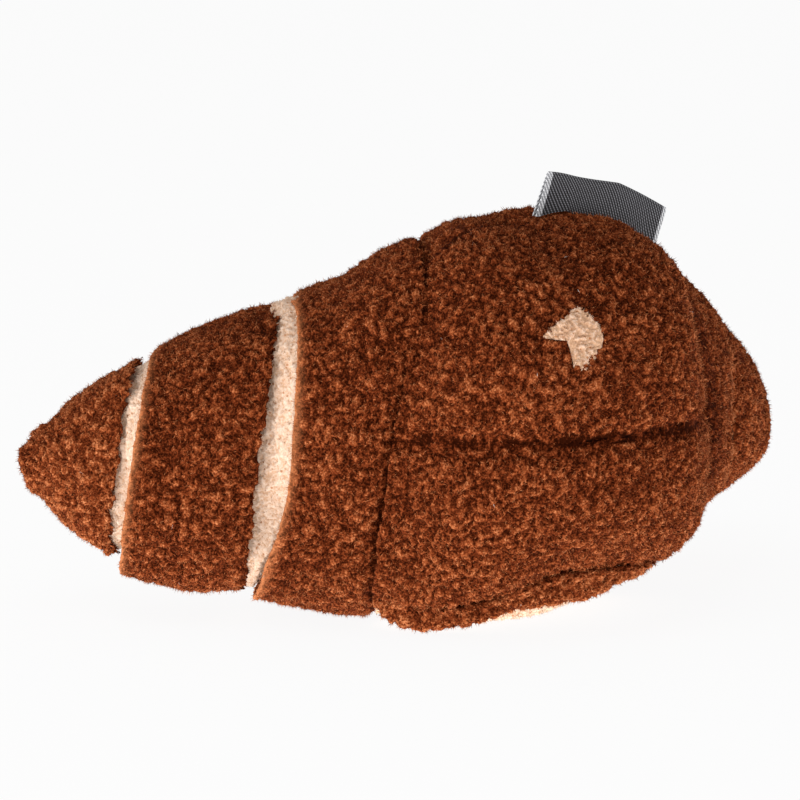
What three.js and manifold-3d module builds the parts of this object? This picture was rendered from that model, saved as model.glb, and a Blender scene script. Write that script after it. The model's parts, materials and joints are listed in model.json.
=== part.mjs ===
import * as THREE from 'three';
import { mergeVertices } from 'three/addons/utils/BufferGeometryUtils.js';
import Module from 'manifold-3d';

const wasm = await Module();
wasm.setup();

// Driving sizes in millimetres. Z is up, the front faces -Y, the belly rests on z = 0.
const height = 80;
const front_depth = 40;
const back_depth = 30;
const centre_half = 22;
const horn_length = 74;
const horn_splay_deg = 31.5;
const ring_lean = 0.14;
const section_power = 2.9;
const under_power = 2.1;
const belly_flat_depth = 1.5;

const fleece_thickness = 2;
const seam_gap = 0.4;
const lining_gap = 0.6;
const running_gap = 0.9;
const seam_valley_depth = 1.5;
const seam_valley_width = 3.2;

const flap_reach = 24.6;
const flap_sweep = 4.6;
const collar_root = 27.3;
const collar_lip = 51.3;
const tip_root = 54.4;
const horn_pivot = 15;
const tip_pivot = 46.5;
const band_tuck = 3;

const cross_seam_height = 38.5;
const top_seam_forward = 6;
const hem_angle = -56;
const belly_angle = -68;

const label_width = 28;
const label_start = 1.8;
const label_height = 7.6;
const label_crown = 1.4;
const label_ply = 0.5;
const label_slot = 0.5;
const label_clearance = 0.8;

const patch_width = 13.5;
const patch_height = 14.4;
const patch_thickness = 1.2;
const patch_along = -4.5;
const patch_angle = 27.8;

const squeaker_radius = 14;
const squeaker_wall = 1.2;
const squeaker_cup = 9;
const squeaker_overlap = 3.5;
const squeaker_travel = 5;
const squeaker_fit = 0.4;
const squeaker_back = -3;
const whistle_radius = 3;
const whistle_bore = 1.8;
const whistle_length = 5;
const reed_thickness = 0.4;

const patch_cut_depth = 20;
const centre_fill_reach = 8;
const fill_inset = 0.5;
const fill_short = 3.3;
const neck_overlap = 1.8;
const nose_cap = 0.5;
const nose_hollow = 4.5;
const nose_fill = 6;
const label_taper = 0.93;
const label_kink = 0.58;

const rad = THREE.MathUtils.degToRad;
const splay = rad(horn_splay_deg);
const crease_back = centre_half / Math.sin(splay);
const up = new THREE.Vector3(0, 0, 1);
const mean_depth = (front_depth + back_depth) / 2;
const along = (mm) => centre_half + mm;

// A station of the outer skin: its place along the toy, top and bottom as shares of the height, depth to
// front and back, its share of the ring lean, how square it is, and how far it fans about the inner crease.
function station(at, top, bottom, front, back, lean = 1, power = section_power, fan = 0) {
  const lowest = fan === 1 ? -belly_flat_depth : bottom * height;
  return { at, top: top * height, bottom: lowest, front, back, lean: lean * ring_lean, power, fan };
}

function centre_station(share, top, front, back, lean) {
  const at = share * centre_half;
  return station(at, top, 0, front * front_depth, back * back_depth, lean, section_power, 1);
}

function shoulder_station(share, top, bottom, front, back, lean, fan) {
  const at = along(flap_reach * share);
  return station(at, top, bottom, front * front_depth, back * mean_depth, lean, section_power, fan);
}

function horn_station(at, top, bottom, depth, power) {
  const half_depth = depth * front_depth;
  return station(at, top, bottom, half_depth, half_depth, 1, power);
}

const collar_part = (share) => along(collar_root + (collar_lip - collar_root) * share);
const tip_part = (share) => along(tip_root + (horn_length - tip_root) * share);

const body_form = [
  centre_station(-0.4, 0.995, 0.988, 0.98, -0.2),
  centre_station(0, 1, 1, 1, 0),
  centre_station(0.4, 0.995, 0.988, 0.98, 0.2),
  centre_station(0.7, 0.97, 0.935, 0.95, 0.38),
  centre_station(1, 0.928, 0.83, 0.92, 0.6),
  shoulder_station(0.37, 0.87, 0.004, 0.772, 0.8, 0.87, 0.4),
  shoulder_station(0.65, 0.822, 0.022, 0.728, 0.809),
  shoulder_station(1.06, 0.778, 0.045, 0.68, 0.777),
];
const collar_form = [
  horn_station(collar_part(-0.01), 0.761, 0.054, 0.645),
  horn_station(collar_part(0.49), 0.718, 0.061, 0.595),
  horn_station(collar_part(0.8), 0.674, 0.078, 0.545),
  horn_station(collar_part(1.01), 0.647, 0.09, 0.507),
];
const tip_form = [
  horn_station(tip_part(-0.02), 0.621, 0.139, 0.44),
  horn_station(tip_part(0.32), 0.575, 0.184, 0.36, 2.5),
  horn_station(tip_part(0.61), 0.514, 0.248, 0.25, 2.3),
  horn_station(tip_part(0.81), 0.467, 0.296, 0.16, 2.1),
  horn_station(tip_part(0.93), 0.433, 0.335, 0.09, 2),
  horn_station(tip_part(0.99), 0.408, 0.368, 0.038, 2),
];

// Smooth reading of one column of a station table, without overshoot.
function read(form, key, at) {
  let i = 0;
  while (i < form.length - 2 && at > form[i + 1].at) i += 1;
  const rise = (j) => (form[j + 1][key] - form[j][key]) / (form[j + 1].at - form[j].at);
  const slope = (j) => {
    if (j === 0) return rise(0);
    if (j === form.length - 1) return rise(j - 1);
    const a = rise(j - 1);
    const b = rise(j);
    return a * b <= 0 ? 0 : 2 * a * b / (a + b);
  };
  const span = form[i + 1].at - form[i].at;
  const t = (at - form[i].at) / span;
  const m0 = slope(i) * span;
  const m1 = slope(i + 1) * span;
  const t2 = t * t;
  const t3 = t2 * t;
  return (2 * t3 - 3 * t2 + 1) * form[i][key] + (t3 - 2 * t2 + t) * m0
    + (3 * t2 - 2 * t3) * form[i + 1][key] + (t3 - t2) * m1;
}

// Plan of the toy at a distance from its middle: section centre, outward and along directions.
function plan(distance, side) {
  const turn = splay * Math.min(distance / centre_half, 1);
  const reach = crease_back * Math.cos(turn);
  const run = Math.max(distance - centre_half, 0);
  const out = new THREE.Vector3(side * Math.sin(turn), -Math.cos(turn), 0);
  const on = new THREE.Vector3(side * Math.cos(turn), Math.sin(turn), 0);
  const centre = new THREE.Vector3(0, crease_back, 0).addScaledVector(out, reach).addScaledVector(on, run);
  return { centre, out, on, turn, reach };
}

function section(form, distance) {
  const top = read(form, 'top', distance);
  const bottom = read(form, 'bottom', distance);
  return {
    mid: (top + bottom) / 2,
    half: (top - bottom) / 2,
    front: read(form, 'front', distance),
    back: read(form, 'back', distance),
    lean: read(form, 'lean', distance),
    fan: read(form, 'fan', distance),
    power: read(form, 'power', distance),
  };
}

const valley = (gap) => Math.exp(-((gap / seam_valley_width) ** 2));

// Depth of the sewn valleys in the outer skin.
function dip(form, distance, angle, radius) {
  if (form === body_form) {
    const side_seam = valley(distance - centre_half);
    if (distance > centre_half) return seam_valley_depth * side_seam;
    const cross = cross_angle(distance);
    const gap = Math.min(Math.abs(angle - cross), Math.abs(Math.PI - angle - cross)) * radius;
    return seam_valley_depth * Math.max(side_seam, 0.8 * valley(gap));
  }
  if (form === collar_form) return seam_valley_depth * valley(distance - along(collar_root));
  return 0.5 * seam_valley_depth * valley(distance - along(tip_root));
}

function cross_angle(distance) {
  const cut = section(body_form, distance);
  return Math.atan2(cross_seam_height - cut.mid, cut.front);
}

// One point of the outer skin. The angle runs 0 front, 90 top, 180 back, -90 bottom.
function outer(form, distance, side, angle, plain) {
  const cut = section(form, distance);
  const where = plan(distance, side);
  const c = Math.cos(angle);
  const s = Math.sin(angle);
  const depth = c > 0 ? cut.front : cut.back;
  const power = s > 0 ? cut.power : Math.min(cut.power, under_power);
  const sum = Math.abs(c / depth) ** power + Math.abs(s / cut.half) ** power;
  let radius = sum ** (-1 / power);
  if (!plain) radius -= dip(form, distance, angle, radius);
  const z = Math.max(cut.mid + radius * s, 0);
  const share = 1 + cut.fan * radius * c / where.reach;
  return where.centre.clone()
    .addScaledVector(where.out, radius * c)
    .addScaledVector(where.on, -cut.lean * share * (z - cut.mid))
    .setZ(z);
}

// A point below (or, when negative, above) the outer skin, measured in the plane of its ring.
function skin(form, signed, angle, depth, plain = false) {
  const side = signed < 0 ? -1 : 1;
  const at = (d, a) => {
    const turned = d < 0 ? -side : side;
    return outer(form, Math.abs(d), turned, a, plain);
  };
  const distance = Math.abs(signed);
  const here = at(distance, angle);
  if (depth === 0) return here;
  const run = at(distance + 0.1, angle).sub(at(distance - 0.1, angle));
  const turn = at(distance, angle + 0.004).sub(at(distance, angle - 0.004));
  const cut = section(form, distance);
  const where = plan(distance, side);
  const across = where.on.clone().addScaledVector(up, cut.lean).normalize();
  const normal = run.cross(turn).normalize();
  normal.addScaledVector(across, -normal.dot(across)).normalize();
  const middle = where.centre.setZ(cut.mid);
  if (normal.dot(here.clone().sub(middle)) < 0) normal.negate();
  return here.addScaledVector(normal, -depth);
}

function solid(points, faces) {
  const geometry = new THREE.BufferGeometry();
  const flat = points.flatMap((v) => [v.x, v.y, v.z]);
  geometry.setAttribute('position', new THREE.Float32BufferAttribute(flat, 3));
  geometry.setIndex(faces.flat());
  return facing_out(geometry);
}

// Turns a closed mesh to face outwards.
function facing_out(geometry) {
  const at = geometry.getAttribute('position');
  const index = geometry.getIndex();
  const corner = [0, 1, 2].map(() => new THREE.Vector3());
  let volume = 0;
  for (let i = 0; i < index.count; i += 3) {
    corner.forEach((v, j) => v.fromBufferAttribute(at, index.getX(i + j)));
    volume += corner[0].dot(corner[1].clone().cross(corner[2]));
  }
  if (volume < 0) {
    for (let i = 0; i < index.count; i += 3) {
      const swap = index.getX(i);
      index.setX(i, index.getX(i + 1));
      index.setX(i + 1, swap);
    }
  }
  return geometry;
}

// A sewn panel: a grid on the skin with a second grid below it and a rim round both.
function panel(form, place, rows, columns, above, below) {
  const points = [];
  const faces = [];
  const index = (layer, i, j) => (layer * (rows + 1) + i) * (columns + 1) + j;
  const quad = (a, b, c, d) => faces.push([a, b, c], [a, c, d]);
  for (const depth of [above, below]) {
    for (let i = 0; i <= rows; i += 1) {
      for (let j = 0; j <= columns; j += 1) {
        const [distance, angle] = place(i / rows, j / columns);
        points.push(skin(form, distance, angle, depth));
      }
    }
  }
  for (let i = 0; i < rows; i += 1) {
    for (let j = 0; j < columns; j += 1) {
      quad(index(0, i, j), index(0, i + 1, j), index(0, i + 1, j + 1), index(0, i, j + 1));
      quad(index(1, i, j), index(1, i, j + 1), index(1, i + 1, j + 1), index(1, i + 1, j));
    }
    quad(index(0, i, 0), index(1, i, 0), index(1, i + 1, 0), index(0, i + 1, 0));
    quad(index(0, i, columns), index(0, i + 1, columns), index(1, i + 1, columns), index(1, i, columns));
  }
  for (let j = 0; j < columns; j += 1) {
    quad(index(0, 0, j), index(0, 0, j + 1), index(1, 0, j + 1), index(1, 0, j));
    quad(index(0, rows, j), index(1, rows, j), index(1, rows, j + 1), index(0, rows, j + 1));
  }
  return solid(points, faces);
}

// A closed length of the toy, below its skin. A nose point closes the far end when there is one.
function filling(form, depth, from, to, rows, columns, plain, nose) {
  const points = [];
  const faces = [];
  for (let i = 0; i <= rows; i += 1) {
    for (let j = 0; j < columns; j += 1) {
      const distance = from + (to - from) * i / rows;
      points.push(skin(form, distance, 2 * Math.PI * j / columns, depth, plain));
    }
  }
  const middle = (row) => {
    const ring = points.slice(row * columns, (row + 1) * columns);
    return ring.reduce((sum, v) => sum.add(v), new THREE.Vector3()).divideScalar(columns);
  };
  const ends = [middle(0), nose ?? middle(rows)];
  points.push(...ends);
  for (let j = 0; j < columns; j += 1) {
    const next = (j + 1) % columns;
    for (let i = 0; i < rows; i += 1) {
      const a = i * columns;
      const b = a + columns;
      faces.push([a + j, b + j, b + next], [a + j, b + next, a + next]);
    }
    faces.push([points.length - 2, j, next]);
    faces.push([points.length - 1, rows * columns + next, rows * columns + j]);
  }
  return solid(points, faces);
}

function to_manifold(geometry) {
  const bare = geometry.clone();
  bare.deleteAttribute('normal');
  bare.deleteAttribute('uv');
  const merged = mergeVertices(bare, 1e-4);
  return new wasm.Manifold(new wasm.Mesh({
    numProp: 3,
    vertProperties: new Float32Array(merged.getAttribute('position').array),
    triVerts: new Uint32Array(merged.getIndex().array),
  }));
}

function to_geometry(body) {
  const mesh = body.getMesh();
  const geometry = new THREE.BufferGeometry();
  geometry.setAttribute('position', new THREE.BufferAttribute(new Float32Array(mesh.vertProperties), 3));
  geometry.setIndex(Array.from(mesh.triVerts));
  return geometry;
}

// A half space as a large box whose face lies at a distance along a direction.
function beyond(direction, point) {
  const size = 400;
  const box = new THREE.BoxGeometry(size, size, size);
  box.translate(0, 0, size / 2);
  box.applyQuaternion(new THREE.Quaternion().setFromUnitVectors(up, direction.clone().normalize()));
  box.translate(point.x, point.y, point.z);
  return to_manifold(box);
}

// Where a horn bends: the axis leans with the rings and stands in the horn's own upright plane.
function bend(form, at, lip, side) {
  const where = plan(at, side);
  const cut = section(form, lip);
  const level = cut.mid - cut.lean * (lip - at);
  const axis = up.clone().addScaledVector(where.on, -cut.lean).normalize();
  const across = where.on.clone().addScaledVector(up, cut.lean).normalize();
  return { point: where.centre.clone().setZ(level), axis, across };
}

// A rounded barrel about a bend axis: it keeps its outline while the horn turns.
function barrel(at, radius, half, segments) {
  const profile = [];
  const steps = 8;
  for (let i = 0; i <= steps; i += 1) {
    const angle = Math.PI * (i / steps - 0.5);
    const c = Math.max(Math.cos(angle), 0);
    const s = Math.sin(angle);
    const power = s > 0 ? section_power : under_power;
    const reach = ((c / radius) ** power + Math.abs(s / half) ** power) ** (-1 / power);
    const end = i === 0 || i === steps;
    profile.push(new THREE.Vector2(end ? 0 : reach * c, reach * s));
  }
  const geometry = new THREE.LatheGeometry(profile, segments);
  geometry.applyQuaternion(new THREE.Quaternion().setFromUnitVectors(new THREE.Vector3(0, 1, 0), at.axis));
  geometry.translate(at.point.x, at.point.y, at.point.z);
  return to_manifold(geometry);
}

const group = new THREE.Group();
group.name = 'croissant_toy';
const fleece_brown = { color: 0x743917, roughness: 0.95, metalness: 0 };
const fleece_cream = { color: 0xe3c1a8, roughness: 0.95, metalness: 0 };
const fibre_fill = { color: 0xf1eee8, roughness: 1, metalness: 0 };
const label_weave = { color: 0x3a3a3e, roughness: 0.8, metalness: 0 };
const soft_plastic = { color: 0xf2f0e6, roughness: 0.5, metalness: 0 };

function add(name, shape, look) {
  const geometry = shape instanceof THREE.BufferGeometry ? shape : to_geometry(shape);
  geometry.computeVertexNormals();
  const mesh = new THREE.Mesh(geometry, new THREE.MeshStandardMaterial(look));
  mesh.name = name;
  group.add(mesh);
}

const half_gap = seam_gap / 2;
const trim = half_gap / front_depth;
const lining = fleece_thickness + lining_gap;
const padding = fleece_thickness + seam_valley_depth + lining_gap / 2;
const eased = (t) => t - 0.55 * Math.sin(2 * Math.PI * t) / (2 * Math.PI);

// Centre: four brown panels, two hems and the cream belly between side seams.
const centre_end = centre_half - half_gap;
const lengthwise = (a) => (2 * eased(a) - 1) * centre_end;

// The top seam runs straight across, a little forward of the section tops.
function top_angle(signed) {
  const distance = Math.abs(signed);
  const cut = section(body_form, distance);
  const where = plan(distance, 1);
  const forward = (crease_back + top_seam_forward) / Math.cos(where.turn) - where.reach;
  const rise = cut.half * (1 - (forward / cut.front) ** cut.power) ** (1 / cut.power);
  return Math.atan2(rise, forward);
}

function centre_panel(from, to, columns) {
  return panel(body_form, (a, b) => {
    const distance = lengthwise(a);
    const low = from(distance) + trim;
    const high = to(distance) - trim;
    return [distance, low + (high - low) * eased(b)];
  }, 12, columns, 0, fleece_thickness);
}

const front_cross = (d) => cross_angle(Math.abs(d));
const back_cross = (d) => Math.PI - cross_angle(Math.abs(d));
const front_hem_line = () => rad(hem_angle);
const front_belly_line = () => rad(belly_angle);
const back_hem_line = () => Math.PI - rad(hem_angle);
const back_belly_line = () => Math.PI - rad(belly_angle);
const turn_back = (line) => () => line() - 2 * Math.PI;

add('upper_front_panel', centre_panel(front_cross, top_angle, 7), fleece_brown);
add('lower_front_panel', centre_panel(front_hem_line, front_cross, 6), fleece_brown);
add('upper_back_panel', centre_panel(top_angle, back_cross, 8), fleece_brown);
add('lower_back_panel', centre_panel(back_cross, back_hem_line, 5), fleece_brown);
add('front_hem', centre_panel(front_belly_line, front_hem_line, 2), fleece_brown);
add('back_hem', centre_panel(back_hem_line, back_belly_line, 2), fleece_brown);
add('belly_panel', centre_panel(turn_back(back_belly_line), front_belly_line, 6), fleece_cream);

// Pale patch on the upper front panel.
const patch_outline = [
  [-0.54, 0.08], [-0.18, 0.34], [0.1, 0.52], [0.25, 0.44], [0.46, 0.17], [0.43, 0],
  [0.25, -0.28], [0.04, -0.48], [-0.13, -0.44], [-0.16, -0.19], [-0.16, -0.03], [-0.47, 0.01],
];

function patch() {
  const middle = skin(body_form, patch_along, rad(patch_angle), 0);
  const above = skin(body_form, patch_along, rad(patch_angle), -1);
  const normal = above.sub(middle).normalize();
  const right = up.clone().cross(normal).normalize();
  const rise = normal.clone().cross(right);
  const shape = new THREE.Shape(patch_outline.map(([x, y]) => {
    return new THREE.Vector2(x * patch_width, y * patch_height);
  }));
  const prism = new THREE.ExtrudeGeometry(shape, { depth: patch_cut_depth, bevelEnabled: false });
  prism.translate(0, 0, -patch_cut_depth / 2);
  prism.applyMatrix4(new THREE.Matrix4().makeBasis(right, rise, normal).setPosition(middle));
  const spread = 0.3;
  const sheet = panel(body_form, (a, b) => {
    const distance = patch_along + (a - 0.5) * 0.62 * patch_width;
    return [distance, rad(patch_angle) + (b - 0.5) * 2 * spread];
  }, 6, 7, -patch_thickness - half_gap, -half_gap);
  return to_manifold(sheet).intersect(to_manifold(prism));
}
add('highlight_patch', patch(), fleece_cream);

// Filling of the centre, made in two wads with a pocket for the squeaker and a seat for each horn.
const lean_scale = Math.sqrt(1 + ring_lean ** 2);
const horn_at = along(horn_pivot);
const tip_at = along(tip_pivot);

function seat_size(form, pivot, edge_front, edge_top) {
  const front_cut = section(form, edge_front);
  const top_cut = section(form, edge_top);
  const clear = fleece_thickness + running_gap;
  const depth = Math.min(front_cut.front, front_cut.back) - clear;
  const radius = Math.hypot(depth, edge_front - pivot);
  const share = 1 - ((edge_top - pivot) / radius) ** section_power;
  const half = (top_cut.half - clear) * lean_scale / share ** (1 / section_power);
  return { radius, half };
}
const horn_seat = seat_size(body_form, horn_at, along(flap_reach - flap_sweep), along(flap_reach));
const tip_seat = seat_size(collar_form, tip_at, along(collar_lip), along(collar_lip));

function squeaker_turn(profile) {
  const geometry = new THREE.LatheGeometry(profile.map(([r, y]) => new THREE.Vector2(r, y)), 20);
  geometry.translate(0, squeaker_back, height / 2);
  return geometry;
}

const cup_outer = squeaker_radius;
const cup_inner = squeaker_radius - squeaker_wall;
const dome_inner = cup_outer + squeaker_fit;
const dome_outer = dome_inner + squeaker_wall;
const dome_rim = -squeaker_cup + squeaker_overlap;
const dome_face = -squeaker_cup - squeaker_travel - squeaker_fit;
const dome_front = dome_face - squeaker_wall;

function squeaker_pocket() {
  const front = dome_front - lining_gap;
  const radius = dome_outer + lining_gap;
  return squeaker_turn([[0, front], [radius, front], [radius, lining_gap], [0, lining_gap]]);
}

function centre_wads() {
  const end = along(centre_fill_reach);
  let wad = to_manifold(filling(body_form, padding + 1.5 * lining_gap, -end, end, 16, 16, true));
  for (const side of [-1, 1]) {
    const at = bend(body_form, horn_at, along(flap_reach), side);
    wad = wad.subtract(barrel(at, horn_seat.radius + running_gap, horn_seat.half + running_gap, 16));
  }
  wad = wad.subtract(to_manifold(squeaker_pocket()));
  const middle = new THREE.Vector3(0, 0, height / 2);
  const upper = wad.intersect(beyond(up, middle.clone().addScaledVector(up, half_gap)));
  const lower = wad.intersect(beyond(up.clone().negate(), middle.clone().addScaledVector(up, -half_gap)));
  return { upper, lower };
}
const wads = centre_wads();
add('upper_filling', wads.upper, fibre_fill);
add('lower_filling', wads.lower, fibre_fill);

// Squeaker: cup, sliding dome, whistle tube and reed, on an axis from front to back.
const hole = whistle_radius + squeaker_fit;
add('squeaker_cup', squeaker_turn([
  [hole, -squeaker_wall], [hole, 0], [cup_outer, 0], [cup_outer, -squeaker_cup],
  [cup_inner, -squeaker_cup], [cup_inner, -squeaker_wall], [hole, -squeaker_wall],
].reverse()), soft_plastic);
add('squeaker_dome', squeaker_turn([
  [0, dome_face], [dome_inner, dome_face], [dome_inner, dome_rim], [dome_outer, dome_rim],
  [dome_outer, dome_front], [0, dome_front],
].reverse()), soft_plastic);
const flange = whistle_radius + 1.5;
const whistle_top = -squeaker_wall - squeaker_fit;
add('squeaker_whistle', squeaker_turn([
  [whistle_bore, 0], [whistle_radius, 0], [whistle_radius, whistle_top], [flange, whistle_top],
  [flange, whistle_top - 1], [whistle_radius, whistle_top - 1], [whistle_radius, -whistle_length],
  [whistle_bore, -whistle_length], [whistle_bore, 0],
].reverse()), soft_plastic);
const reed = new THREE.BoxGeometry(2 * whistle_radius - 1, reed_thickness, whistle_bore * 2 - 0.6);
reed.translate(0, squeaker_back - whistle_length - squeaker_fit * 0.75 - reed_thickness / 2, height / 2);
add('squeaker_reed', mergeVertices(bare_box(reed)), soft_plastic);

function bare_box(box) {
  box.deleteAttribute('normal');
  box.deleteAttribute('uv');
  return box;
}

// A ring of the horn in a front or a back half.
function ring_half(form, side, back, from, to, rows, columns) {
  const base = back ? Math.PI / 2 : -Math.PI / 2;
  return panel(form, (a, b) => {
    const angle = base + trim * 1.5 + (Math.PI - 3 * trim) * b;
    const start = from;
    const end = to(angle);
    return [side * (start + (end - start) * eased(a)), angle];
  }, rows, columns, 0, fleece_thickness);
}

function band(at, seat, root, hidden) {
  const skin_out = barrel(at, seat.radius, seat.half, 20);
  const skin_in = barrel(at, seat.radius - fleece_thickness, seat.half - fleece_thickness, 20);
  const outward = at.across;
  const start = at.point.clone().addScaledVector(outward, hidden);
  const end = at.point.clone().addScaledVector(outward, root);
  return skin_out.subtract(skin_in)
    .intersect(beyond(outward, start))
    .intersect(beyond(outward.clone().negate(), end));
}

for (const [word, side] of [['left', -1], ['right', 1]]) {
  const flap_edge = (angle) => along(flap_reach - flap_sweep * Math.cos(angle) ** 2);
  const shoulder_start = centre_half + half_gap;
  const shoulder = (back) => ring_half(body_form, side, back, shoulder_start, flap_edge, 5, 12);
  add(`${word}_shoulder_front`, shoulder(false), fleece_brown);
  add(`${word}_shoulder_back`, shoulder(true), fleece_brown);

  const collar_start = along(collar_root) + half_gap;
  const collar_end = () => along(collar_lip);
  const collar = (back) => ring_half(collar_form, side, back, collar_start, collar_end, 5, 12);
  add(`${word}_collar_front`, collar(false), fleece_brown);
  add(`${word}_collar_back`, collar(true), fleece_brown);

  const horn_bend = bend(body_form, horn_at, along(flap_reach), side);
  const tip_bend = bend(collar_form, tip_at, along(collar_lip), side);
  const horn_root = (along(collar_root) - horn_at) / lean_scale - half_gap;
  const tip_start = (along(tip_root) - tip_at) / lean_scale - half_gap;
  add(`${word}_horn_band`, band(horn_bend, horn_seat, horn_root, -band_tuck), fleece_cream);
  add(`${word}_tip_band`, band(tip_bend, tip_seat, tip_start, -band_tuck), fleece_cream);

  const lined = (seat) => [seat.radius - lining, seat.half - lining];
  const neck = (at, root) => {
    const end = at.point.clone().addScaledVector(at.across, root);
    return beyond(at.across.clone().negate(), end);
  };
  const collar_from = side * (collar_start + fill_inset);
  const collar_to = side * (along(collar_lip) - fill_short);
  const collar_fill = to_manifold(filling(collar_form, padding, collar_from, collar_to, 3, 14, true));
  const horn_fill = barrel(horn_bend, ...lined(horn_seat), 14)
    .intersect(neck(horn_bend, horn_root + neck_overlap))
    .add(collar_fill)
    .subtract(barrel(tip_bend, tip_seat.radius + running_gap, tip_seat.half + running_gap, 16));
  add(`${word}_horn_filling`, horn_fill, fibre_fill);

  const nose_plan = plan(along(horn_length), side);
  const nose = nose_plan.centre.setZ(section(tip_form, along(horn_length)).mid);
  const inner_nose = nose.clone().addScaledVector(nose_plan.on, -fleece_thickness - 1);
  const fill_nose = inner_nose.clone().addScaledVector(nose_plan.on, -1);
  const tip_from = along(tip_root) + half_gap;
  const tip_length = (from, short, depth, rows, columns, plain, end) => {
    const to = along(horn_length - short);
    return to_manifold(filling(tip_form, depth, side * from, side * to, rows, columns, plain, end));
  };
  const tip_skin = tip_length(tip_from, nose_cap, 0, 6, 14, false, nose);
  const tip_hollow = tip_length(tip_from - 1, nose_hollow, fleece_thickness, 4, 14, false, inner_nose);
  const tip_cover = tip_skin.subtract(tip_hollow);
  const facing = nose_plan.out;
  const split = (way) => beyond(way, nose.clone().addScaledVector(way, half_gap));
  add(`${word}_tip_front`, tip_cover.intersect(split(facing)), fleece_brown);
  add(`${word}_tip_back`, tip_cover.intersect(split(facing.clone().negate())), fleece_brown);
  const tip_fill = tip_length(tip_from + fill_inset, nose_fill, padding, 3, 12, true, fill_nose);
  const tip_ball = barrel(tip_bend, ...lined(tip_seat), 14)
    .intersect(neck(tip_bend, tip_start + neck_overlap));
  add(`${word}_tip_filling`, tip_ball.add(tip_fill), fibre_fill);
}

// Folded label in the top seam, its lower edge following the skin.
function label() {
  const seat = (x) => {
    let low = 0;
    let high = centre_half;
    for (let i = 0; i < 24; i += 1) {
      const distance = (low + high) / 2;
      if (skin(body_form, distance, top_angle(distance), 0).x < x) low = distance;
      else high = distance;
    }
    return skin(body_form, low, top_angle(low), 0).z + label_clearance;
  };
  const left = new THREE.Vector2(label_start, seat(label_start));
  const label_end = label_start + label_width * label_taper;
  const right = new THREE.Vector2(label_end, seat(label_end));
  const run = right.clone().sub(left).normalize();
  const rise = new THREE.Vector2(-run.y, run.x);
  const lower = [];
  for (let i = 0; i <= 8; i += 1) {
    const x = left.x + (right.x - left.x) * i / 8;
    lower.push(new THREE.Vector2(x, seat(x)));
  }
  const upper_left = left.clone().addScaledVector(rise, label_height);
  const upper_right = right.clone().addScaledVector(rise, label_height);
  const crown = upper_left.clone().lerp(upper_right, label_kink).addScaledVector(rise, label_crown);
  const ply = (corners, thickness) => {
    const shape = new THREE.Shape(corners);
    const slab = new THREE.ExtrudeGeometry(shape, { depth: thickness, bevelEnabled: false });
    slab.translate(0, 0, -thickness / 2);
    slab.rotateX(Math.PI / 2);
    slab.translate(0, -top_seam_forward, 0);
    return to_manifold(slab);
  };
  const full = ply([...lower, upper_right, crown, upper_left], 2 * label_ply + label_slot);
  const drop = rise.clone().multiplyScalar(-label_width / 2);
  const fold = rise.clone().multiplyScalar(-label_ply);
  const widen = run.clone().multiplyScalar(2);
  const slot = ply([
    left.clone().add(drop).sub(widen),
    right.clone().add(drop).add(widen),
    upper_right.clone().add(fold).add(widen),
    crown.clone().add(fold),
    upper_left.clone().add(fold).sub(widen),
  ], label_slot);
  return full.subtract(slot);
}
add('woven_label', label(), label_weave);

export default group;
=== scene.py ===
"""A stuffed croissant toy in nubby fleece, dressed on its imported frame."""
import json
import math

import bmesh
import bpy
import numpy as np
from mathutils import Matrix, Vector
from mathutils.bvhtree import BVHTree
from mathutils.kdtree import KDTree


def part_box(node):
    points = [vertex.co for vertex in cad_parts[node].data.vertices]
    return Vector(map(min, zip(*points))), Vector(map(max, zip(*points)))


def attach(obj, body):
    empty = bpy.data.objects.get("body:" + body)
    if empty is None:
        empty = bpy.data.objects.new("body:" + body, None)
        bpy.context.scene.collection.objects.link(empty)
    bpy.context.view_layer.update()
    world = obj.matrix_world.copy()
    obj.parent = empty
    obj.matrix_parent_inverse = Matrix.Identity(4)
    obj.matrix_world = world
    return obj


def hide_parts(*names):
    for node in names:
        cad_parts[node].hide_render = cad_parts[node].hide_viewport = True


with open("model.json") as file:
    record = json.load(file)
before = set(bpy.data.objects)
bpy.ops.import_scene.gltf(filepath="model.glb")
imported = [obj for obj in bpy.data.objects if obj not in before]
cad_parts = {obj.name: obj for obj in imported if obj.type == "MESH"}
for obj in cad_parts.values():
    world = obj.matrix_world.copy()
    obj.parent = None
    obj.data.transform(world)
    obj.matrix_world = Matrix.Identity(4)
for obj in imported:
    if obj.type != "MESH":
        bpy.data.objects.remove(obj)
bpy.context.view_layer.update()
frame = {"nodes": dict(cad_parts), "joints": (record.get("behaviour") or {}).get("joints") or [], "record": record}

bl_info = {
    "name": "Fleece croissant toy",
    "version": (1, 0, 0),
    "blender": (4, 5, 0),
    "location": "3D View > Sidebar > Toy",
    "description": "Sews, stuffs and lights a plush croissant toy on its frame",
    "category": "Object",
}

MM = 0.001
JOINTS = {joint["name"]: joint for joint in frame["joints"]}
BODY_OF = {node: body for body, nodes in frame["record"]["behaviour"]["bodies"].items() for node in nodes}
SIDES = ("left", "right")
HALVES = ("front", "back")
CENTRE_COVERS = (
    "upper_front_panel", "lower_front_panel", "upper_back_panel", "lower_back_panel", "front_hem", "back_hem",
)
SHOULDERS = tuple(f"{side}_shoulder_{half}" for side in SIDES for half in HALVES)

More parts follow.
